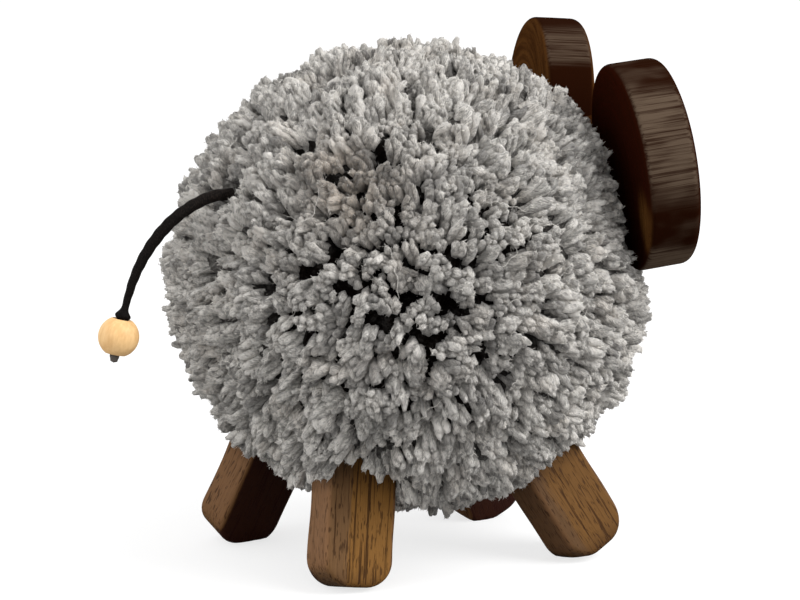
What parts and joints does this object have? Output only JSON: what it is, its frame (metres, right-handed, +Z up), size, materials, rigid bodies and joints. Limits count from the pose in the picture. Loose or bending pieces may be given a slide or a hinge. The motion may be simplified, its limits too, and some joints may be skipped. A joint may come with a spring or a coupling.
{
  "type": "pompom mouse figurine",
  "caption": "Small standing mouse figurine: a round cut-yarn body on short wooden legs, thick wooden disc ears, a turned wooden head and a cord tail ending in a bead.",
  "frame": {"origin": "on the floor, under the middle of the body's box, measured without the tail", "axes": "+Z up, the nose towards -Y, the mouse's right side towards -X"},
  "size_m": [0.0848, 0.1165, 0.093],
  "materials": {
    "yarn": "cut wool yarn, matte",
    "core_wood": "plain beech, unfinished",
    "leg_wood": "walnut, oiled",
    "ear_wood": "dark stained, satin",
    "face_bead": "black bead, glossy",
    "cord": "waxed black cotton cord",
    "bead_wood": "natural pale wood, sanded"
  },
  "bodies": {
    "figure": {"yarn_upper": "yarn", "yarn_lower": "yarn", "core_block": "core_wood", "neck_dowel": "core_wood", "leg_dowel_rear_right": "core_wood", "leg_dowel_rear_left": "core_wood", "leg_dowel_front_right": "core_wood", "leg_dowel_front_left": "core_wood", "ear_dowel_right": "core_wood", "ear_dowel_left": "core_wood", "leg_rear_right": "leg_wood", "leg_rear_left": "leg_wood", "leg_front_right": "leg_wood", "leg_front_left": "leg_wood", "ear_right": "ear_wood", "ear_left": "ear_wood", "head": "ear_wood", "eye_right": "face_bead", "eye_left": "face_bead", "nose": "face_bead", "tie_cord": "cord", "tail_root": "cord"},
    "tail_base": {"tail_cord_base": "cord"},
    "tail_tip": {"tail_cord_tip": "cord"},
    "bead": {"tail_bead": "bead_wood"}
  },
  "joints": [
    {"name": "tail_swing", "type": "hinge", "parent": "figure", "child": "tail_base", "pos_m": [-0.00557, 0.04283, 0.0669], "axis": [0, 0, 1], "range_deg": [-35, 35], "stiffness_Nm_per_rad": 0.002},
    {"name": "tail_flex", "type": "hinge", "parent": "tail_base", "child": "tail_tip", "pos_m": [-0.00557, 0.05643, 0.0602], "axis": [1, 0, 0], "range_deg": [-20, 50], "stiffness_Nm_per_rad": 0.001},
    {"name": "bead_spin", "type": "hinge", "parent": "tail_tip", "child": "bead", "pos_m": [-0.00557, 0.06319, 0.04438], "axis": [0, 0.2279, -0.9737], "continuous": true}
  ]
}
